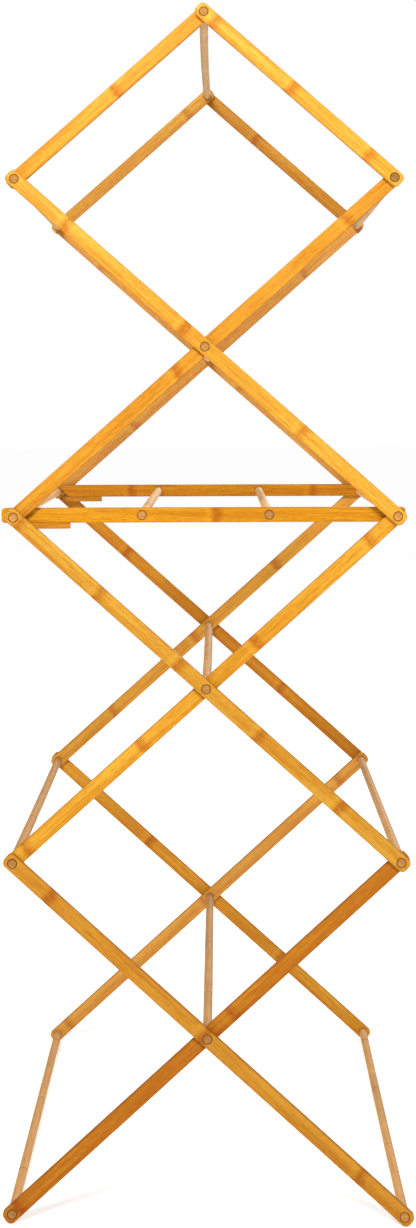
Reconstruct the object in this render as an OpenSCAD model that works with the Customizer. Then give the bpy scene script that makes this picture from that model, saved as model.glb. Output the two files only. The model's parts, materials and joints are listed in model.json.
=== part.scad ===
// Folding clothes drying rack of bamboo slats and round rods.
//
// Two lattice end frames, front and rear, are joined by cross rods. In each frame the slats that
// fall to the right are the outer layer, the slats that rise to the right are the inner layer, and
// a level lock bar is the innermost one. The two lock bars and their two rods make a shelf, which
// turns on the right middle rod and hooks over the left one to keep the rack open.
//
// X runs to the right, Y to the rear and Z up. The feet stand on Z = 0.

/* [Slats] */
// Distance between the end pivots of a long slat
slat_length = 690; // [500:5:900]
// Height of a slat's face
slat_width = 20; // [14:0.5:30]
// Thickness of a slat
slat_thickness = 10; // [6:0.5:16]
// How far a slat runs past its end pivot
slat_end = 11.5; // [9:0.5:18]
// Corner radius of a slat's end
slat_corner = 7; // [3:0.5:9]
// Rounding along the long edges of slats and lock bars
edge_round = 1.5; // [0.5:0.1:2.5]

/* [Frame] */
// Slope of the slats when the rack stands open
open_angle = 41.5; // [30:0.5:55]
// Overall size from front to rear
depth = 740; // [500:10:900]
// Gap between two layers of slats
layer_gap = 0.4; // [0.3:0.1:1]

/* [Rods] */
// Diameter of every rod
rod_diameter = 12.5; // [10:0.5:14]
// Radial clearance of a bore that turns on its rod
turning_clearance = 0.05; // [0.02:0.01:0.1]

/* [Lock frame] */
// Height of a lock bar's face
bar_height = 20; // [14:0.5:30]
// How far a lock bar's middle line lies above the middle rods
bar_rise = 1.5; // [0:0.5:3]
// How far a lock bar runs past the left rod, as the finger of its hook
bar_left = 18; // [14:0.5:24]
// How far a lock bar runs past the right rod
bar_right = 12; // [10:0.5:18]
// Corner radius of a lock bar's ends
bar_corner = 5; // [2:0.5:8]
// Radial clearance of the hook over its rod
hook_clearance = 0.35; // [0.2:0.05:1]
// Distance from the rod's axis to the sloping wall of the hook
hook_wall = 7.2; // [6.8:0.1:9]
// Slope of that wall
hook_slope = 44; // [30:1:60]
// Left end of the strip under a lock bar, from the left rod
strip_start = 8; // [7:0.5:20]
// Right end of the strip, from the left rod
strip_end = 75; // [50:1:120]
// Height of the strip
strip_height = 8; // [5:0.5:12]
// How far the strip is set back from each face of the lock bar
strip_inset = 1; // [0:0.5:2]

/* [Hidden] */
$fn = 64;
half_w = slat_length / 2 * cos(open_angle);
half_h = slat_length / 2 * sin(open_angle);
layer_step = slat_thickness + layer_gap;
turning_d = rod_diameter + 2 * turning_clearance;
// How far a sloping slat's round end reaches past its pivot, sideways and downwards
reach_x = (slat_end - slat_corner) * cos(open_angle)
    + (slat_width / 2 - slat_corner) * sin(open_angle) + slat_corner;
reach_z = (slat_end - slat_corner) * sin(open_angle)
    + (slat_width / 2 - slat_corner) * cos(open_angle) + slat_corner;
// Sets the whole rack's outline in the middle, hook fingers included
shift_x = (bar_left - reach_x) / 2;
// Layers, counted inwards from the outer faces
OUTER = 0;
INNER = 1;
INNERMOST = 2;
FRONT = -1;
REAR = 1;
slat_color = [0.91, 0.66, 0.26];
inner_slat_color = [0.89, 0.63, 0.24];
bar_color = [0.90, 0.64, 0.18];
strip_color = [0.88, 0.60, 0.24];
pale_rod_color = [0.84, 0.70, 0.53];
node_rod_color = [0.80, 0.60, 0.38];

// The place of a pivot: side is -1, 0 or 1, and level counts half cells up from the feet.
function pivot(side, level) = [shift_x + side * half_w, 0, reach_z + level * half_h];

// A rectangle with round corners, its first side centred on y = 0.
module rounded_outline(left, right, height, corner) {
    translate([-left + corner, -height / 2])
        square([left + right - 2 * corner, height]);
    translate([-left, -height / 2 + corner])
        square([left + right, height - 2 * corner]);
    for (x = [-left + corner, right - corner], z = [-1, 1])
        translate([x, z * (height / 2 - corner)])
            circle(corner);
}

// A bar along +X with round ends and soft long edges, its thickness from y = 0 towards +Y.
module flat_bar(left, right, height, thickness, corner, soft) {
    intersection() {
        translate([0, thickness, 0])
            rotate([90, 0, 0])
                linear_extrude(thickness)
                    rounded_outline(left, right, height, corner);
        translate([-left - 1, thickness / 2, 0])
            rotate([90, 0, 90])
                linear_extrude(left + right + 2)
                    rounded_outline(thickness / 2, thickness / 2, height, soft);
    }
}

// A hole along Y through a bar.
module bore(x, z, d) {
    translate([x, -1, z])
        rotate([-90, 0, 0])
            cylinder(d = d, h = slat_thickness + 2);
}

// Puts a bar into one layer of the front or rear frame.
module in_layer(side, layer) {
    outer_face = depth / 2 - layer * layer_step;
    y = side == FRONT ? -outer_face : outer_face - slat_thickness;
    translate([0, y, 0])
        children();
}

// A slat from a pivot, at a slope, with a bore of the given diameter at each of its pivots.
module slat(side, layer, start, slope, length, bores) {
    in_layer(side, layer)
        translate(start)
            rotate([0, -slope, 0])
                difference() {
                    flat_bar(slat_end, length + slat_end, slat_width, slat_thickness,
                             slat_corner, edge_round);
                    for (i = [0 : len(bores) - 1])
                        bore(i * slat_length / 2, 0, bores[i]);
                }
}

// An outer slat falls from its upper left pivot and is glued to its rods.
module outer_slat(side, level, last_bore = rod_diameter) {
    color(slat_color)
        slat(side, OUTER, pivot(-1, level + 2), -open_angle, slat_length,
             [rod_diameter, rod_diameter, last_bore]);
}

// An inner slat rises from its lower left pivot and turns on its rods.
module inner_slat(side, level) {
    color(inner_slat_color)
        slat(side, INNER, pivot(-1, level), open_angle, slat_length,
             [turning_d, turning_d, turning_d]);
}

module outer_cap(side) {
    color(slat_color)
        slat(side, OUTER, pivot(0, 7), -open_angle, slat_length / 2,
             [rod_diameter, rod_diameter]);
}

module inner_cap(side) {
    color(inner_slat_color)
        slat(side, INNER, pivot(-1, 6), open_angle, slat_length / 2,
             [turning_d, turning_d]);
}

// A rod along Y, its ends flush with the outer faces of the given layer.
module rod(place, layer) {
    length = depth - 2 * layer * layer_step;
    translate([place.x, -length / 2, place.z])
        rotate([-90, 0, 0])
            cylinder(d = rod_diameter, h = length);
}

// The mouth of the hook, seen from the front with the left rod's axis at the origin.
module hook_mouth() {
    radius = rod_diameter / 2 + hook_clearance;
    foot = bar_height;
    wall_top = radius - 0.6;
    wall_x = function(z) (hook_wall - z * cos(hook_slope)) / sin(hook_slope);
    circle(radius);
    polygon([
        [-radius, -foot],
        [-radius, 0],
        [0, wall_top],
        [wall_x(wall_top), wall_top],
        [wall_x(-foot), -foot]
    ]);
}

// A lock bar with its hook, the two shelf rods' bores and the bore that it turns on.
module lock_bar(side) {
    color(bar_color)
        in_layer(side, INNERMOST)
            translate(pivot(-1, 4))
                difference() {
                    translate([0, 0, bar_rise])
                        flat_bar(bar_left, 2 * half_w + bar_right, bar_height,
                                 slat_thickness, bar_corner, edge_round);
                    translate([0, slat_thickness + 1, 0])
                        rotate([90, 0, 0])
                            linear_extrude(slat_thickness + 2)
                                hook_mouth();
                    for (third = [1, 2])
                        bore(third * 2 * half_w / 3, bar_rise, rod_diameter);
                    bore(2 * half_w, 0, turning_d);
                }
}

// The strip glued under a lock bar, beside the hook's mouth.
module lock_strip(side) {
    color(strip_color)
        in_layer(side, INNERMOST)
            translate(pivot(-1, 4))
                translate([0, strip_inset, bar_rise - bar_height / 2 - strip_height / 2])
                    flat_bar(-strip_start, strip_end, strip_height,
                             slat_thickness - 2 * strip_inset, edge_round, edge_round / 2);
}

module slat_lower_outer_front() { outer_slat(FRONT, 0); }
module slat_lower_outer_rear() { outer_slat(REAR, 0); }
module slat_lower_inner_front() { inner_slat(FRONT, 0); }
module slat_lower_inner_rear() { inner_slat(REAR, 0); }
module slat_middle_outer_front() { outer_slat(FRONT, 2); }
module slat_middle_outer_rear() { outer_slat(REAR, 2); }
module slat_middle_inner_front() { inner_slat(FRONT, 2); }
module slat_middle_inner_rear() { inner_slat(REAR, 2); }
module slat_upper_outer_front() { outer_slat(FRONT, 4, turning_d); }
module slat_upper_outer_rear() { outer_slat(REAR, 4, turning_d); }
module slat_upper_inner_front() { inner_slat(FRONT, 4); }
module slat_upper_inner_rear() { inner_slat(REAR, 4); }
module cap_slat_outer_front() { outer_cap(FRONT); }
module cap_slat_outer_rear() { outer_cap(REAR); }
module cap_slat_inner_front() { inner_cap(FRONT); }
module cap_slat_inner_rear() { inner_cap(REAR); }
module lock_bar_front() { lock_bar(FRONT); }
module lock_bar_rear() { lock_bar(REAR); }
module lock_strip_front() { lock_strip(FRONT); }
module lock_strip_rear() { lock_strip(REAR); }
module rod_foot_left() { color(node_rod_color) rod(pivot(-1, 0), INNER); }
module rod_foot_right() { color(node_rod_color) rod(pivot(1, 0), OUTER); }
module rod_lower_cross() { color(node_rod_color) rod(pivot(0, 1), OUTER); }
module rod_lower_left() { color(node_rod_color) rod(pivot(-1, 2), OUTER); }
module rod_lower_right() { color(node_rod_color) rod(pivot(1, 2), OUTER); }
module rod_middle_cross() { color(node_rod_color) rod(pivot(0, 3), OUTER); }
module rod_middle_left() { color(pale_rod_color) rod(pivot(-1, 4), OUTER); }
module rod_middle_right() { color(pale_rod_color) rod(pivot(1, 4), OUTER); }
module rod_upper_cross() { color(pale_rod_color) rod(pivot(0, 5), OUTER); }
module rod_upper_left() { color(pale_rod_color) rod(pivot(-1, 6), OUTER); }
module rod_upper_right() { color(pale_rod_color) rod(pivot(1, 6), OUTER); }
module rod_top() { color(pale_rod_color) rod(pivot(0, 7), OUTER); }

// A shelf rod lies on the lock bars' middle line, a third of the way in from its side.
module shelf_rod(side) {
    color(pale_rod_color)
        rod(pivot(side / 3, 4) + [0, 0, bar_rise], INNERMOST);
}

module rod_shelf_left() { shelf_rod(-1); }
module rod_shelf_right() { shelf_rod(1); }

slat_lower_outer_front();
slat_lower_outer_rear();
slat_lower_inner_front();
slat_lower_inner_rear();
slat_middle_outer_front();
slat_middle_outer_rear();
slat_middle_inner_front();
slat_middle_inner_rear();
slat_upper_outer_front();
slat_upper_outer_rear();
slat_upper_inner_front();
slat_upper_inner_rear();
cap_slat_outer_front();
cap_slat_outer_rear();
cap_slat_inner_front();
cap_slat_inner_rear();
lock_bar_front();
lock_bar_rear();
lock_strip_front();
lock_strip_rear();
rod_foot_left();
rod_foot_right();
rod_lower_cross();
rod_lower_left();
rod_lower_right();
rod_middle_cross();
rod_middle_left();
rod_middle_right();
rod_upper_cross();
rod_upper_left();
rod_upper_right();
rod_top();
rod_shelf_left();
rod_shelf_right();
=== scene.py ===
"""Looks of a folding bamboo clothes rack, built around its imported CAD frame."""

import json
import math
import random
from collections import namedtuple

import bmesh
import bpy
from mathutils import Matrix, Vector


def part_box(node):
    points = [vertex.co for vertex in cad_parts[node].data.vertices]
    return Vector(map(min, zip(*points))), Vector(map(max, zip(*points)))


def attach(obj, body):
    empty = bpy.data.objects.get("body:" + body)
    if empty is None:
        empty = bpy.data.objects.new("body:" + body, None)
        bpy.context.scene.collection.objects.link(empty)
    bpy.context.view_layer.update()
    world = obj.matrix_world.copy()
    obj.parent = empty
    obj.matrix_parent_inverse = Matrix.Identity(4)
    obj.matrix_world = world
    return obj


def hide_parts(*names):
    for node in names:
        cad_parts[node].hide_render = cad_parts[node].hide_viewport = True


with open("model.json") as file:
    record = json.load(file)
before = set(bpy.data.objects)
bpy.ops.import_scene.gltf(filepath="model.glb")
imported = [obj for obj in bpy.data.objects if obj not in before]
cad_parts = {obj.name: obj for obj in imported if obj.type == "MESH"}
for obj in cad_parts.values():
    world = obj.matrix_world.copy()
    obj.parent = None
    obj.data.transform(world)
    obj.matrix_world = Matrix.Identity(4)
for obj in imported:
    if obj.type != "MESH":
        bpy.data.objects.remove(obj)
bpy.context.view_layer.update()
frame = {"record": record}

MM = 0.001

# Sizes of the visual pieces, as in the CAD
SLAT_WIDTH = 20 * MM
SLAT_END = 11.5 * MM
SLAT_CORNER = 7 * MM
BAR_HEIGHT = 20 * MM
BAR_LEFT = 18 * MM
BAR_RIGHT = 12 * MM
BAR_CORNER = 5 * MM
EDGE_ROUND = 1.5 * MM
STRIP_ROUND = 0.5 * MM
HOOK_CLEARANCE = 0.35 * MM
HOOK_WALL = 7.2 * MM
HOOK_SLOPE = math.radians(44)
HOOK_SEAT = math.radians(110)
HOOK_WALL_TOP = 0.6 * MM

# Finer shapes that only the visual model has
BORE_GAP = 0.12 * MM
BORE_CHAMFER = 0.55 * MM
ROD_CHAMFER = 0.7 * MM
ROD_GAP = 0.05 * MM
ROD_UNEVENNESS = 0.05 * MM
ROD_WAVES = 31  # radians to the metre
ROD_NODE_PITCH = (0.21, 0.27)  # metres
RING_HEIGHT = 0.30 * MM
RING_WIDTH = 2.2 * MM
ROD_SLEEVE = 24 * MM
LARGEST_BEND = 0.35 * MM

# How finely the meshes are divided
ROD_SIDES = 40
BORE_SIDES = 48
ROD_STEPS = 110
STATION_STEP = 6 * MM
END_STEPS = 9
CORNER_STEPS = 4
HOOK_STEPS = 14
FACE_ROWS = (-0.97, -0.6, -0.2, 0.2, 0.6, 0.97)
SMOOTH_ANGLE = math.radians(32)

STRAIGHT = (0.0, 0.0)

# Its tone is partly the bamboo's own colour and partly painted shade, set per piece.
# How a slat or a lock bar looks. Its warmth is browner above 0 and rosier below 0.
# A bamboo node lies at node_start along it, and others at every node_pitch.
Look = namedtuple("Look", "tone warmth node_start node_pitch")


# ---------------------------------------------------------------- places from the frame

def middle(node):
    """The middle of a CAD node's box."""
    low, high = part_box(node)
    return (low + high) / 2


def rod_radius(node):
    low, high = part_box(node)
    return (high.x - low.x) / 2


ROD_RADIUS = rod_radius("rod_top")
BODY_OF = {
    node: body
    for body, nodes in frame["record"]["behaviour"]["bodies"].items()
    for node in nodes
}
SLOT_OF = {entry["node"]: entry["material_slot"] for entry in frame["record"]["subparts"]}


# ---------------------------------------------------------------- meshes

def mesh_object(name, bm):
    """A new object from a bmesh."""
    mesh = bpy.data.meshes.new(name)
    bm.normal_update()
    bm.to_mesh(mesh)
    bm.free()
    piece = bpy.data.objects.new(name, mesh)
    bpy.context.scene.collection.objects.link(piece)
    return piece


def smooth(piece):
    mesh = piece.data
    mesh.shade_smooth()
    mesh.set_sharp_from_angle(angle=SMOOTH_ANGLE)


def skin(name, loops):
    """A closed object over a row of rings, each a list of points: quads between them, and caps."""
    bm = bmesh.new()
    rings = [[bm.verts.new(point) for point in loop] for loop in loops]
    for one, other in zip(rings, rings[1:]):
        count = len(one)
        for i in range(count):
            after = (i + 1) % count
            bm.faces.new((one[i], one[after], other[after], other[i]))
    bm.faces.new(list(reversed(rings[0])))
    bm.faces.new(rings[-1])
    bmesh.ops.recalc_face_normals(bm, faces=bm.faces)
    return mesh_object(name, bm)


def section(half_y, half_z, radius):
    """A rectangle with round corners as a loop of (y, z), with rows of points on its wide faces."""
    flat_y, flat_z = half_y - radius, half_z - radius
    after_corner = (
        [(0.0, half_z)],
        [(-half_y, -row * flat_z) for row in FACE_ROWS],
        [(0.0, -half_z)],
        [(half_y, row * flat_z) for row in FACE_ROWS],
    )
    points = []
    for quarter, (sign_y, sign_z) in enumerate(((1, 1), (-1, 1), (-1, -1), (1, -1))):
        for i in range(CORNER_STEPS + 1):
            turn = math.pi / 2 * (quarter + i / CORNER_STEPS)
            points.append((sign_y * flat_y + radius * math.cos(turn),
                           sign_z * flat_z + radius * math.sin(turn)))
        points += after_corner[quarter]
    return points


def end_inset(distance, radius):
    """How far a round edge of this radius stands back at a distance from the end."""
    if distance >= radius:
        return 0.0
    return radius - math.sqrt(radius ** 2 - (radius - distance) ** 2)


def stations(left, right, corner):
    """Places along a bar: close together over its round ends, then at even steps."""
    near_end = [corner * (1 - math.cos(math.pi / 2 * i / END_STEPS))
                for i in range(END_STEPS + 1)]
    span = right - left - 2 * corner
    count = max(2, round(span / STATION_STEP))
    middle_part = [left + corner + span * i / count for i in range(1, count)]
    return ([left + d for d in near_end] + middle_part
            + [right - d for d in reversed(near_end)])


def bar_mesh(name, left, right, height, thickness, corner, edge, bend=None):
    """A flat bar along X with round ends and soft edges. bend(x) gives its slight (y, z) bow."""
    loops = []
    for x in stations(left, right, corner):
        distance = min(x - left, right - x)
        half_z = height / 2 - end_inset(distance, corner)
        half_y = thickness / 2 - end_inset(distance, edge)
        bow_y, bow_z = bend(x) if bend else STRAIGHT
        loops.append([(x, y + bow_y, z + bow_z) for y, z in section(half_y, half_z, edge)])
    return skin(name, loops)


def circle(y, radius, x, z, sides):
    """A circle of points about a line along Y."""
    turns = [math.tau * i / sides for i in range(sides)]
    return [(x + radius * math.cos(turn), y, z + radius * math.sin(turn)) for turn in turns]


def bore_cutter(x, z, thickness):
    """A turned cutter for a bore with a small chamfer at both faces."""
    radius = ROD_RADIUS + BORE_GAP
    face = thickness / 2
    mouth = radius + BORE_CHAMFER
    rings = [(-face - BORE_CHAMFER, mouth + BORE_CHAMFER), (-face + BORE_CHAMFER, radius),
             (face - BORE_CHAMFER, radius), (face + BORE_CHAMFER, mouth + BORE_CHAMFER)]
    return skin("cutter", [circle(y, size, x, z, BORE_SIDES) for y, size in rings])


def hook_cutter(x, z, thickness):
    """The mouth of the hook: a round seat for the rod, open downwards beside a sloping wall."""
    radius = ROD_RADIUS + HOOK_CLEARANCE
    foot = -BAR_HEIGHT

    def wall_x(height):
        return (HOOK_WALL - height * math.cos(HOOK_SLOPE)) / math.sin(HOOK_SLOPE)

    top = radius - HOOK_WALL_TOP
    turns = [math.pi - HOOK_SEAT * i / HOOK_STEPS for i in range(HOOK_STEPS + 1)]
    seat = [(radius * math.cos(turn), radius * math.sin(turn)) for turn in turns]
    outline = [(-radius, foot)] + seat + [(wall_x(top), top), (wall_x(foot), foot)]
    sides = [[(x + out, y, z + rise) for out, rise in outline] for y in (-thickness, thickness)]
    return skin("cutter", sides)


def cut(piece, cutters):
    """Cuts the cutters out of a piece and removes them."""
    for cutter in cutters:
        modifier = piece.modifiers.new("cut", "BOOLEAN")
        modifier.operation = "DIFFERENCE"
        modifier.solver = "EXACT"
        modifier.object = cutter
    bpy.context.view_layer.update()
    depsgraph = bpy.context.evaluated_depsgraph_get()
    mesh = bpy.data.meshes.new_from_object(piece.evaluated_get(depsgraph))
    piece.modifiers.clear()
    piece.data = mesh
    for cutter in cutters:
        bpy.data.objects.remove(cutter)


def stamp(piece, **values):
    """Writes values that are the same all over a piece onto its points, for its material to read."""
    for name, value in values.items():
        attribute = piece.data.attributes.new(name, "FLOAT", "POINT")
        attribute.data.foreach_set("value", [value] * len(piece.data.vertices))


# ---------------------------------------------------------------- materials

# For a piece without bores or nodes: a pitch longer than the piece
FAR_APART = 9.0

# How far a seed of 1 moves the grain along a piece, so that no two look alike
SLAT_SHIFT = 7.31
ROD_SHIFT = 5.17

# The painted shade round a bore, in the gap and chamfer round its rod, measured from the bore's
# middle: full inside, none outside
BORE_SHADE_INSIDE = 6.3 * MM
BORE_SHADE_OUTSIDE = 7.1 * MM

# Colour of the painted shade round the rod in each bore
PAINTED_BORE_SHADE = (0.20, 0.075, 0.010)
# Colour of the painted shade round the rim of a rod's sawn end
PAINTED_RIM_SHADE = (0.14, 0.05, 0.012)
BROWNER = (1.0, 0.72, 0.40)
ROSY = (0.58, 0.20, 0.16)


class Shader:
    """A material's node tree, with a short call for each kind of node used here."""

    def __init__(self, name):
        self.material = bpy.data.materials.new(name)
        self.material.use_nodes = True
        self.tree = self.material.node_tree
        self.surface = self.tree.nodes["Principled BSDF"]
        self.object_place = self.node("ShaderNodeTexCoord").outputs["Object"]

    def node(self, kind, **settings):
        made = self.tree.nodes.new(kind)
        for key, value in settings.items():
            setattr(made, key, value)
        return made

    def feed(self, socket, value):
        if isinstance(value, bpy.types.NodeSocket):
            self.tree.links.new(value, socket)
        else:
            socket.default_value = value

    def attribute(self, name):
        return self.node("ShaderNodeAttribute", attribute_name=name).outputs["Fac"]

    def math(self, operation, *values, clamp=False):
        made = self.node("ShaderNodeMath", operation=operation, use_clamp=clamp)
        for socket, value in zip(made.inputs, values):
            self.feed(socket, value)
        return made.outputs[0]

    def split(self, vector):
        made = self.node("ShaderNodeSeparateXYZ")
        self.feed(made.inputs[0], vector)
        return made.outputs

    def join(self, x, y, z):
        made = self.node("ShaderNodeCombineXYZ")
        for socket, value in zip(made.inputs, (x, y, z)):
            self.feed(socket, value)
        return made.outputs[0]

    def noise(self, place, scale=1.0, detail=3.0, roughness=0.5):
        made = self.node("ShaderNodeTexNoise")
        self.feed(made.inputs["Vector"], place)
        self.feed(made.inputs["Scale"], scale)
        self.feed(made.inputs["Detail"], detail)
        self.feed(made.inputs["Roughness"], roughness)
        return made.outputs["Fac"]

    def scaled(self, x, y, z, per_x, per_y, per_z):
        """A place for noise, with so many features to the metre each way."""
        return self.join(self.math("MULTIPLY", x, per_x), self.math("MULTIPLY", y, per_y),
                         self.math("MULTIPLY", z, per_z))

    def spread(self, value, low, high, to_low=0.0, to_high=1.0, smooth_step=False):
        """value from low..high spread over to_low..to_high, held at the ends."""
        made = self.node("ShaderNodeMapRange")
        if smooth_step:
            made.interpolation_type = "SMOOTHSTEP"
        for socket, number in zip(made.inputs, (value, low, high, to_low, to_high)):
            self.feed(socket, number)
        return made.outputs[0]

    def near(self, distance, inner, outer, smooth_step=True):
        """1 within inner of a line, falling to 0 at outer."""
        away = self.math("ABSOLUTE", distance)
        return self.spread(away, inner, outer, 1.0, 0.0, smooth_step=smooth_step)

    def from_nearest(self, value, pitch):
        """Distance from the nearest of the places at every pitch from 0."""
        turns = self.math("DIVIDE", value, pitch)
        part = self.math("SUBTRACT", turns, self.math("ROUND", turns))
        return self.math("MULTIPLY", part, pitch)

    def length(self, a, b):
        squares = self.math("ADD", self.math("MULTIPLY", a, a), self.math("MULTIPLY", b, b))
        return self.math("SQRT", squares)

    def toned(self, color, tone):
        made = self.node("ShaderNodeHueSaturation")
        self.feed(made.inputs["Color"], color)
        self.feed(made.inputs["Value"], tone)
        return made.outputs[0]

    def ramp(self, value, *stops):
        made = self.node("ShaderNodeValToRGB")
        self.feed(made.inputs[0], value)
        elements = made.color_ramp.elements
        while len(elements) < len(stops):
            elements.new(0.5)
        for element, (position, color) in zip(elements, stops):
            element.position = position
            element.color = (*color, 1.0)
        return made.outputs["Color"]

    def mix(self, factor, a, b, blend="MIX"):
        made = self.node("ShaderNodeMix", data_type="RGBA", blend_type=blend)
        self.feed(made.inputs["Factor"], factor)
        for key, value in ((6, a), (7, b)):
            self.feed(made.inputs[key], (*value, 1.0) if isinstance(value, tuple) else value)
        return made.outputs[2]

    def bump(self, height, strength, distance):
        made = self.node("ShaderNodeBump")
        self.feed(made.inputs["Height"], height)
        made.inputs["Strength"].default_value = strength
        made.inputs["Distance"].default_value = distance
        self.feed(self.surface.inputs["Normal"], made.outputs[0])

    def finish(self, color, roughness, specular, coat=0.0):
        self.feed(self.surface.inputs["Base Color"], color)
        self.feed(self.surface.inputs["Roughness"], roughness)
        self.surface.inputs["Coat Weight"].default_value = coat
        self.surface.inputs["Coat Roughness"].default_value = 0.3
        self.surface.inputs["Specular IOR Level"].default_value = specular
        return self.material


def darker(color, factors):
    return tuple(channel * factor for channel, factor in zip(color, factors))


def slat_nodes(s, x, grain, wave):
    """The culm's nodes across a slat: a wavy dark line, a smudge beside it and a pale stripe."""
    waved = s.math("ADD", x, s.math("MULTIPLY", s.math("SUBTRACT", wave, 0.5), 16 * MM))
    start, pitch = s.attribute("node_start"), s.attribute("node_pitch")
    from_node = s.from_nearest(s.math("SUBTRACT", waved, start), pitch)
    line = s.near(from_node, 0.3 * MM, 2.4 * MM)
    line = s.math("MULTIPLY", line, s.spread(grain, 0.35, 0.60, 0.35, 1.0))
    rise = s.spread(from_node, -7.5 * MM, -1.0 * MM, smooth_step=True)
    fall = s.spread(from_node, 3 * MM, 13 * MM, 1.0, 0.0, smooth_step=True)
    smudge = s.math("MULTIPLY", s.math("MULTIPLY", rise, fall),
                    s.spread(grain, 0.34, 0.58, 0.3, 1.0))
    pale = s.near(s.math("ADD", from_node, 11 * MM), 0.0, 6 * MM)
    return line, smudge, pale


def bamboo_slat_material(name, light, deep, bore_pitch):
    """Lacquered bamboo along X: fibres, laminated strips, nodes and ends, with painted shade round
    the bores and along the long edges.
    """
    s = Shader(name)
    x, y, z = s.split(s.object_place)
    seed = s.attribute("seed")
    x_own = s.math("ADD", x, s.math("MULTIPLY", seed, SLAT_SHIFT))

    def along(per_x, per_y, per_z, **settings):
        return s.noise(s.scaled(x_own, y, z, per_x, per_y, per_z), **settings)

    bands = along(3.0, 60.0, 120.0, detail=2.0)
    fibre = along(17.0, 300.0, 420.0, detail=3.0, roughness=0.75)
    fine = along(75.0, 800.0, 850.0, detail=3.0, roughness=0.75)
    fleck = along(110.0, 620.0, 700.0, detail=1.0)
    slow = along(4.0, 3.0, 12.0, detail=2.0)
    wave = along(3.0, 60.0, 160.0, detail=4.0, roughness=0.75)

    # Two laminated strips side by side, one a little deeper, with a glue line between them
    wobble = s.math("MULTIPLY", s.math("SUBTRACT", slow, 0.5), 6 * MM)
    joint = s.math("MULTIPLY_ADD", seed, 8 * MM, -4 * MM)
    from_joint = s.math("ADD", s.math("SUBTRACT", z, joint), wobble)
    strip = s.spread(from_joint, -0.8 * MM, 0.8 * MM, smooth_step=True)
    glue = s.near(from_joint, 0.2 * MM, 0.8 * MM, smooth_step=False)

    line, smudge, pale = slat_nodes(s, x, fine, wave)
    # Painted shade in the gap and chamfer round the rod at each bore
    from_bore = s.length(s.from_nearest(x, bore_pitch), z)
    painted_bore_shade = s.near(from_bore, BORE_SHADE_INSIDE, BORE_SHADE_OUTSIDE)
    # Painted shade: the rounded long edges of a slat darker
    edge = s.spread(s.math("ABSOLUTE", z), 9.0 * MM, 9.9 * MM, smooth_step=True)

    # End grain shows where the surface faces along the slat
    facing = s.split(s.node("ShaderNodeTexCoord").outputs["Normal"])[0]
    end_grain = s.spread(s.math("ABSOLUTE", facing), 0.6, 0.95)

    mixed = s.math("MULTIPLY_ADD", bands, 0.24, s.math("MULTIPLY", fibre, 0.44))
    mixed = s.math("MULTIPLY_ADD", fine, 0.32, mixed)
    mixed = s.math("MULTIPLY_ADD", strip, 0.03, s.math("SUBTRACT", mixed, 0.015))
    between = tuple((a + b) / 2 for a, b in zip(light, deep))
    dark = darker(deep, (0.76, 0.45, 0.10))
    fleck_depth = s.math("MULTIPLY_ADD", smudge, 0.6, 0.26)
    node_depth = s.spread(slow, 0.36, 0.62, 0.42, 0.80)
    color = s.ramp(mixed, (0.42, deep), (0.50, between), (0.58, light))
    for amount, towards in (
            (s.spread(slow, 0.35, 0.65, 0.0, 0.45), deep),
            (s.math("MULTIPLY", s.spread(fleck, 0.54, 0.68), fleck_depth), dark),
            (s.math("MULTIPLY", glue, 0.16), dark),
            (s.math("MULTIPLY", pale, 0.30), light),
            (s.math("MULTIPLY", smudge, node_depth), dark),
            (s.math("MULTIPLY", line, 0.45), dark),
            # painted shade along the rounded long edges
            (s.math("MULTIPLY", edge, 0.20), dark),
            (s.math("MULTIPLY", end_grain, 0.45), dark),
            # painted shade round the rod at each bore
            (s.math("MULTIPLY", painted_bore_shade, 0.60), PAINTED_BORE_SHADE)):
        color = s.mix(amount, color, towards)
    warmth = s.attribute("warmth")
    browner = s.mix(1.0, color, BROWNER, "MULTIPLY")
    color = s.mix(s.math("MULTIPLY", warmth, 1.0, clamp=True), color, browner)
    color = s.mix(s.math("MULTIPLY", warmth, -1.0, clamp=True), color, ROSY)

    height = s.math("MULTIPLY_ADD", fibre, 0.5, s.math("MULTIPLY", fine, 0.3))
    s.bump(s.math("SUBTRACT", height, s.math("MULTIPLY", line, 0.6)), 0.30, 0.4 * MM)
    roughness = s.spread(s.math("MULTIPLY_ADD", end_grain, 0.5, fibre), 0.3, 1.0, 0.42, 0.65)
    # The piece's tone, partly painted shade
    return s.finish(s.toned(color, s.attribute("tone")), roughness, specular=0.10, coat=0.02)


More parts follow.
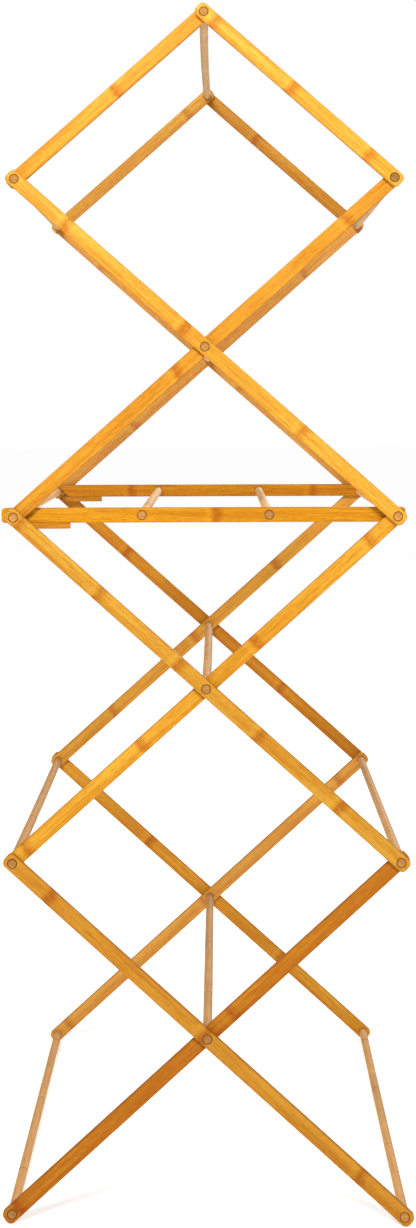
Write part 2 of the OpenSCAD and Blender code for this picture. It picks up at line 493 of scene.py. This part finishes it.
def rod_material(name, light, deep, rings):
    """A bare rod along Y: fine grain, faint mottling, and dark rings at the nodes of bamboo."""
    s = Shader(name)
    x, y, z = s.split(s.object_place)
    y_own = s.math("ADD", y, s.math("MULTIPLY", s.attribute("seed"), ROD_SHIFT))
    grain = s.noise(s.scaled(x, y_own, z, 420.0, 16.0, 420.0), detail=4.0, roughness=0.6)
    fine = s.noise(s.scaled(x, y_own, z, 1900.0, 45.0, 1900.0), detail=2.0)
    mottle = s.noise(s.scaled(x, y_own, z, 90.0, 22.0, 90.0), detail=3.0)
    mixed = s.math("ADD", s.math("MULTIPLY", grain, 0.6), s.math("MULTIPLY", mottle, 0.4))
    dark = darker(deep, (0.55, 0.48, 0.42))
    color = s.ramp(mixed, (0.32, deep), (0.66, light))
    color = s.mix(s.spread(fine, 0.55, 0.75, 0.0, 0.35), color, dark)
    if rings:
        start, pitch = s.attribute("node_start"), s.attribute("node_pitch")
        waved = s.math("ADD", y, s.math("MULTIPLY", s.math("SUBTRACT", mottle, 0.5), 4 * MM))
        away = s.from_nearest(s.math("SUBTRACT", waved, start), pitch)
        line = s.near(away, 0.8 * MM, 2.6 * MM)
        pale = s.near(s.math("SUBTRACT", away, 6 * MM), 0.0, 6 * MM)
        color = s.mix(s.math("MULTIPLY", pale, 0.35), color, light)
        color = s.mix(s.math("MULTIPLY", line, 0.7), color, dark)
    height = s.math("ADD", s.math("MULTIPLY", grain, 0.5), s.math("MULTIPLY", fine, 0.4))
    s.bump(height, 0.3, 0.3 * MM)
    roughness = s.spread(grain, 0.3, 0.8, 0.55, 0.75)
    return s.finish(s.toned(color, s.attribute("tone")), roughness, specular=0.35)


def rod_end_material(name, light, deep):
    """The sawn end of a rod: pores in a paler middle, and a dark line of painted shade round its
    rim, where it meets its bore.
    """
    s = Shader(name)
    x, _, z = s.split(s.object_place)
    seed = s.attribute("seed")
    out = s.length(x, z)
    pores = s.node("ShaderNodeTexVoronoi")
    s.feed(pores.inputs["Vector"], s.join(x, seed, z))
    s.feed(pores.inputs["Scale"], 1700.0)
    dots = s.spread(pores.outputs["Distance"], 0.15, 0.45, 1.0, 0.0)
    cloud = s.noise(s.join(s.math("MULTIPLY", x, 300.0), seed, s.math("MULTIPLY", z, 300.0)))
    growth = s.near(s.math("SUBTRACT", out, ROD_RADIUS * 0.45), 0.0, 0.9 * MM,
                    smooth_step=False)
    dark = darker(deep, (0.4, 0.4, 0.4))
    color = s.ramp(cloud, (0.35, deep), (0.65, light))
    color = s.mix(s.math("MULTIPLY", dots, 0.4), color, dark)
    color = s.mix(s.math("MULTIPLY", growth, 0.25), color, dark)
    # Painted shade round the rim of the end, in the gap where the rod meets its bore
    rim = s.spread(out, ROD_RADIUS * 0.78, ROD_RADIUS * 0.92, smooth_step=True)
    color = s.mix(s.math("MULTIPLY", rim, 0.80), color, PAINTED_RIM_SHADE)
    s.bump(s.math("MULTIPLY", dots, -1.0), 0.3, 0.2 * MM)
    roughness = s.spread(cloud, 0.3, 0.7, 0.6, 0.8)
    return s.finish(s.toned(color, s.attribute("end_tone")), roughness, specular=0.2)


def floor_material():
    """Matt white paper that glows: painted light, stronger towards its far edge so that it meets the
    white behind it.
    """
    s = Shader("floor")
    x, y, _ = s.split(s.object_place)
    out = s.length(x, y)
    cloud = s.noise(s.object_place, scale=3.0, detail=2.0)
    color = s.ramp(cloud, (0.3, (0.88, 0.88, 0.88)), (0.7, (0.90, 0.90, 0.90)))
    s.surface.inputs["Emission Color"].default_value = (1.0, 1.0, 1.0, 1.0)
    # Painted light: the floor glows, more strongly towards its far edge
    s.feed(s.surface.inputs["Emission Strength"], s.spread(out, 1.0, 5.0, 0.45, 0.66))
    return s.finish(color, 0.9, specular=0.1)


half_slat = (middle("rod_upper_right") - middle("rod_top")).length
shelf_step = middle("rod_shelf_right").x - middle("rod_shelf_left").x
MATERIALS = {
    "outer_slat": bamboo_slat_material(
        "bamboo_outer_slat", (0.700, 0.388, 0.044), (0.49, 0.200, 0.010), half_slat),
    "inner_slat": bamboo_slat_material(
        "bamboo_inner_slat", (0.71, 0.374, 0.034), (0.49, 0.188, 0.006), half_slat),
    "lock_bar": bamboo_slat_material(
        "bamboo_lock_bar", (0.72, 0.356, 0.010), (0.49, 0.185, 0.002), shelf_step),
    "lock_strip": bamboo_slat_material(
        "bamboo_lock_strip", (0.72, 0.350, 0.030), (0.46, 0.165, 0.006), FAR_APART),
    "bamboo_rod": rod_material(
        "bamboo_rod", (0.73, 0.390, 0.122), (0.50, 0.222, 0.050), rings=True),
    "pale_rod": rod_material(
        "pale_rod", (0.67, 0.385, 0.150), (0.475, 0.245, 0.072), rings=False),
}
ROD_END = rod_end_material("rod_end", (0.68, 0.315, 0.078), (0.48, 0.19, 0.032))


# ---------------------------------------------------------------- pieces

def place(piece, node):
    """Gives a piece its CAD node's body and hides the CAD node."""
    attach(piece, BODY_OF[node])
    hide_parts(node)


def slight_bow(span):
    """A random bow of a slat between its pivots, nothing at the pivots themselves."""
    amount_y = random.uniform(-1, 1) * LARGEST_BEND / 2
    amount_z = random.uniform(-1, 1) * LARGEST_BEND

    def bend(x):
        wave = math.sin(math.pi * x / span)
        if x < 0 or x > 2 * span:
            wave = 0.0
        return amount_y * wave, amount_z * wave

    return bend


def finish_slat(piece, node, look):
    """The look, the material and the CAD node of a slat, a lock bar or a strip."""
    smooth(piece)
    stamp(piece, seed=random.random(), **look._asdict())
    piece.data.materials.append(MATERIALS[SLOT_OF[node]])
    place(piece, node)


def build_slat(node, start_rod, end_rod, look):
    """A slat from one rod to another, with a bore at each pivot on its way."""
    random.seed(node)
    start, end = middle(start_rod), middle(end_rod)
    along = Vector((end.x - start.x, 0, end.z - start.z))
    length = along.length
    along.normalize()
    low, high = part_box(node)
    thickness = high.y - low.y
    piece = bar_mesh(node + "_bamboo", -SLAT_END, length + SLAT_END, SLAT_WIDTH, thickness,
                     SLAT_CORNER, EDGE_ROUND, slight_bow(half_slat))
    pivots = round(length / half_slat) + 1
    cut(piece, [bore_cutter(i * half_slat, 0, thickness) for i in range(pivots)])
    across = Vector((-along.z, 0, along.x))
    turn = Matrix((along, (0, 1, 0), across)).transposed().to_4x4()
    at = Vector((start.x, (low.y + high.y) / 2, start.z))
    piece.matrix_world = Matrix.Translation(at) @ turn
    finish_slat(piece, node, look)


def build_lock_bar(node, look):
    """A level lock bar with its hook, the shelf rods' bores and the bore that it turns on."""
    random.seed(node)
    left, right = middle("rod_middle_left"), middle("rod_middle_right")
    low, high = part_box(node)
    thickness = high.y - low.y
    centre_z = (low.z + high.z) / 2
    rise = centre_z - left.z
    span = right.x - left.x
    piece = bar_mesh(node + "_bamboo", -BAR_LEFT, span + BAR_RIGHT, BAR_HEIGHT, thickness,
                     BAR_CORNER, EDGE_ROUND)
    cutters = [hook_cutter(0, -rise, thickness), bore_cutter(span, -rise, thickness)]
    for rod in (middle("rod_shelf_left"), middle("rod_shelf_right")):
        cutters.append(bore_cutter(rod.x - left.x, rod.z - centre_z, thickness))
    cut(piece, cutters)
    piece.matrix_world = Matrix.Translation((left.x, (low.y + high.y) / 2, centre_z))
    finish_slat(piece, node, look)


def build_strip(node, look):
    """The short strip under a lock bar."""
    random.seed(node)
    low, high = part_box(node)
    size = high - low
    piece = bar_mesh(node + "_bamboo", 0, size.x, size.z, size.y, STRIP_ROUND, STRIP_ROUND)
    piece.matrix_world = Matrix.Translation((low.x, (low.y + high.y) / 2, (low.z + high.z) / 2))
    finish_slat(piece, node, look)


def rod_rings(half, bow, node_start, node_pitch):
    """The circles of a rod's skin. Only bamboo has raised rings, and a pitch for them."""
    radius = ROD_RADIUS - ROD_GAP
    end = [(-half, radius - ROD_CHAMFER), (-half + ROD_CHAMFER, radius)]
    rings = [circle(y, size, 0.0, 0.0, ROD_SIDES) for y, size in end]
    phase = random.uniform(0, math.tau)
    free_half = half - ROD_SLEEVE
    for i in range(ROD_STEPS + 1):
        y = -free_half + 2 * free_half * i / ROD_STEPS
        free = math.cos(math.pi / 2 * y / free_half)
        size = radius + ROD_UNEVENNESS * free * math.sin(ROD_WAVES * y + phase)
        if node_pitch:
            away = y - node_start - node_pitch * round((y - node_start) / node_pitch)
            size += free * RING_HEIGHT * math.exp(-(away / RING_WIDTH) ** 2)
        rings.append(circle(y, size, bow[0] * free, bow[1] * free, ROD_SIDES))
    return rings + [circle(-y, size, 0.0, 0.0, ROD_SIDES) for y, size in reversed(end)]


def build_rod(node, tone, end_tone, bow):
    """A rod with chamfered ends, a slightly uneven side, a bow, and raised rings if it is bamboo."""
    random.seed(node)
    low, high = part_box(node)
    half = (high.y - low.y) / 2
    pitch = random.uniform(*ROD_NODE_PITCH)
    start = random.uniform(-0.5, 0.5) * pitch
    bamboo = SLOT_OF[node] == "bamboo_rod"
    piece = skin(node + "_wood", rod_rings(half, bow, start, pitch if bamboo else None))
    for face in piece.data.polygons:
        if abs(face.center.y) > half - ROD_CHAMFER and abs(face.normal.y) > 0.5:
            face.material_index = 1
    smooth(piece)
    stamp(piece, seed=random.random(), tone=tone, end_tone=end_tone, node_start=start,
          node_pitch=pitch)
    piece.data.materials.append(MATERIALS[SLOT_OF[node]])
    piece.data.materials.append(ROD_END)
    piece.matrix_world = Matrix.Translation((low + high) / 2)
    place(piece, node)


# Each slat: the rods at its ends, then its look in the front and in the rear frame. The tones hold
# painted shade as well as the bamboo's own colour: the front frame's slats darker towards the
# bottom.
SLATS = {
    "slat_lower_outer": ("rod_lower_left", "rod_foot_right", {
        "front": Look(0.77, 0.5, 0.065, 0.273),
        "rear": Look(0.89, 0.50, 0.207, 0.296),
    }),
    "slat_lower_inner": ("rod_foot_left", "rod_lower_right", {
        "front": Look(0.66, 1.0, 0.011, 0.379),
        "rear": Look(0.91, -0.15, 0.026, 0.306),
    }),
    "slat_middle_outer": ("rod_middle_left", "rod_lower_right", {
        "front": Look(0.85, 0.1, 0.012, 0.142),
        "rear": Look(0.75, 0.85, 0.157, 0.350),
    }),
    "slat_middle_inner": ("rod_lower_left", "rod_middle_right", {
        "front": Look(0.95, 0.0, 0.024, 0.205),
        "rear": Look(0.92, -0.08, 0.125, 0.187),
    }),
    "slat_upper_outer": ("rod_upper_left", "rod_middle_right", {
        "front": Look(0.99, 0.0, 0.094, 0.212),
        "rear": Look(0.90, -0.15, 0.100, 0.32),
    }),
    "slat_upper_inner": ("rod_middle_left", "rod_upper_right", {
        "front": Look(0.90, 0.3, 0.293, 0.311),
        "rear": Look(0.88, -0.18, 0.173, 0.392),
    }),
    "cap_slat_outer": ("rod_top", "rod_upper_right", {
        "front": Look(1.06, 0.0, 0.020, 0.139),
        "rear": Look(0.73, 0.60, 0.113, 0.400),
    }),
    "cap_slat_inner": ("rod_upper_left", "rod_top", {
        "front": Look(1.02, 0.4, 0.183, 0.400),
        "rear": Look(0.83, -0.06, 0.297, 0.400),
    }),
}
for base, (start_rod, end_rod, looks) in SLATS.items():
    for side, look in looks.items():
        build_slat(f"{base}_{side}", start_rod, end_rod, look)

# Tones partly painted shade: the rear lock bar and strip darker than the front ones
build_lock_bar("lock_bar_front", Look(0.86, 0.2, 0.272, 0.35))
build_lock_bar("lock_bar_rear", Look(0.76, 0.6, 0.126, 0.31))
build_strip("lock_strip_front", Look(0.85, 0.3, -1.0, FAR_APART))
build_strip("lock_strip_rear", Look(0.62, 0.3, -1.0, FAR_APART))

# Each rod: its tone and the tone of its sawn ends
RODS = {
    "rod_foot_left": (1.00, 0.60),
    "rod_foot_right": (1.00, 0.84),
    "rod_lower_cross": (0.86, 0.57),
    "rod_lower_left": (0.90, 0.61),
    "rod_lower_right": (0.90, 0.70),
    "rod_middle_cross": (1.00, 0.69),
    "rod_middle_left": (1.30, 0.82),
    "rod_middle_right": (1.40, 0.85),
    "rod_upper_cross": (1.00, 0.71),
    "rod_upper_left": (0.83, 0.66),
    "rod_upper_right": (0.88, 0.48),
    "rod_top": (0.84, 0.71),
    "rod_shelf_left": (1.45, 0.80),
    "rod_shelf_right": (1.35, 0.65),
}
# How far the middle of a rod stands out along X and Z, where it isn't straight
BOWS = {
    "rod_top": (-1.3 * MM, 0.2 * MM),
    "rod_lower_left": (0.4 * MM, -0.3 * MM),
    "rod_foot_right": (-0.5 * MM, 0.2 * MM),
    "rod_middle_cross": (0.5 * MM, 0.0),
}
for node, (tone, end_tone) in RODS.items():
    build_rod(node, tone, end_tone, BOWS.get(node, STRAIGHT))


# ---------------------------------------------------------------- stage, light and camera

FLOOR_RADIUS = 40.0
FLOOR_SIDES = 96
CAMERA_AT = (0.0221, -2.926, 1.084)
CAMERA_PITCH = math.radians(3.46)
CAMERA_YAW = math.radians(-0.331)
CAMERA_ROLL = math.radians(-0.208)
CAMERA_LENS = 55.55
CAMERA_SHIFT = -0.268


def build_floor():
    """A wide round pale floor."""
    bm = bmesh.new()
    hub = bm.verts.new((0.0, 0.0, 0.0))
    turns = [math.tau * i / FLOOR_SIDES for i in range(FLOOR_SIDES)]
    rim = [bm.verts.new((FLOOR_RADIUS * math.cos(turn), FLOOR_RADIUS * math.sin(turn), 0.0))
           for turn in turns]
    for i in range(FLOOR_SIDES):
        bm.faces.new((hub, rim[i], rim[(i + 1) % FLOOR_SIDES]))
    floor = mesh_object("floor", bm)
    floor.data.materials.append(floor_material())


def add_softbox(name, at, target, size, power):
    light = bpy.data.lights.new(name, "AREA")
    light.shape = "SQUARE"
    light.size = size
    light.energy = power
    lamp = bpy.data.objects.new(name, light)
    lamp.location = at
    lamp.rotation_euler = (Vector(target) - Vector(at)).to_track_quat("-Z", "Y").to_euler()
    bpy.context.scene.collection.objects.link(lamp)


def set_world(ambient):
    """White behind everything, giving the object this much light from all round."""
    world = bpy.data.worlds.new("studio")
    world.use_nodes = True
    tree = world.node_tree
    background = tree.nodes["Background"]
    background.inputs["Color"].default_value = (1.0, 1.0, 1.0, 1.0)
    path = tree.nodes.new("ShaderNodeLightPath")
    seen = tree.nodes.new("ShaderNodeMapRange")
    seen.inputs["To Min"].default_value = ambient
    seen.inputs["To Max"].default_value = 1.0
    tree.links.new(path.outputs["Is Camera Ray"], seen.inputs["Value"])
    tree.links.new(seen.outputs["Result"], background.inputs["Strength"])
    bpy.context.scene.world = world


def add_camera():
    """The photograph's view: nearly level and square on, with the frame shifted downwards."""
    camera = bpy.data.cameras.new("camera")
    camera.lens = CAMERA_LENS
    camera.sensor_width = 36.0
    camera.shift_y = CAMERA_SHIFT
    camera.clip_end = 50.0
    eye = bpy.data.objects.new("camera", camera)
    level = math.cos(CAMERA_PITCH)
    ahead = Vector((math.sin(CAMERA_YAW) * level, math.cos(CAMERA_YAW) * level,
                    math.sin(CAMERA_PITCH)))
    level_right = Vector((math.cos(CAMERA_YAW), -math.sin(CAMERA_YAW), 0))
    level_up = level_right.cross(ahead)
    right = level_right * math.cos(CAMERA_ROLL) + level_up * math.sin(CAMERA_ROLL)
    up = level_up * math.cos(CAMERA_ROLL) - level_right * math.sin(CAMERA_ROLL)
    turn = Matrix((right, up, -ahead)).transposed().to_4x4()
    eye.matrix_world = Matrix.Translation(CAMERA_AT) @ turn
    bpy.context.scene.collection.objects.link(eye)
    bpy.context.scene.camera = eye


build_floor()
set_world(ambient=0.36)
add_softbox("key", at=(-0.5, -3.1, 2.8), target=(0.0, -0.2, 0.9), size=0.7, power=125)
add_softbox("back", at=(1.2, 3.4, 2.6), target=(0.0, 0.2, 0.8), size=1.6, power=70)
add_camera()
bpy.context.scene.view_settings.view_transform = "Standard"
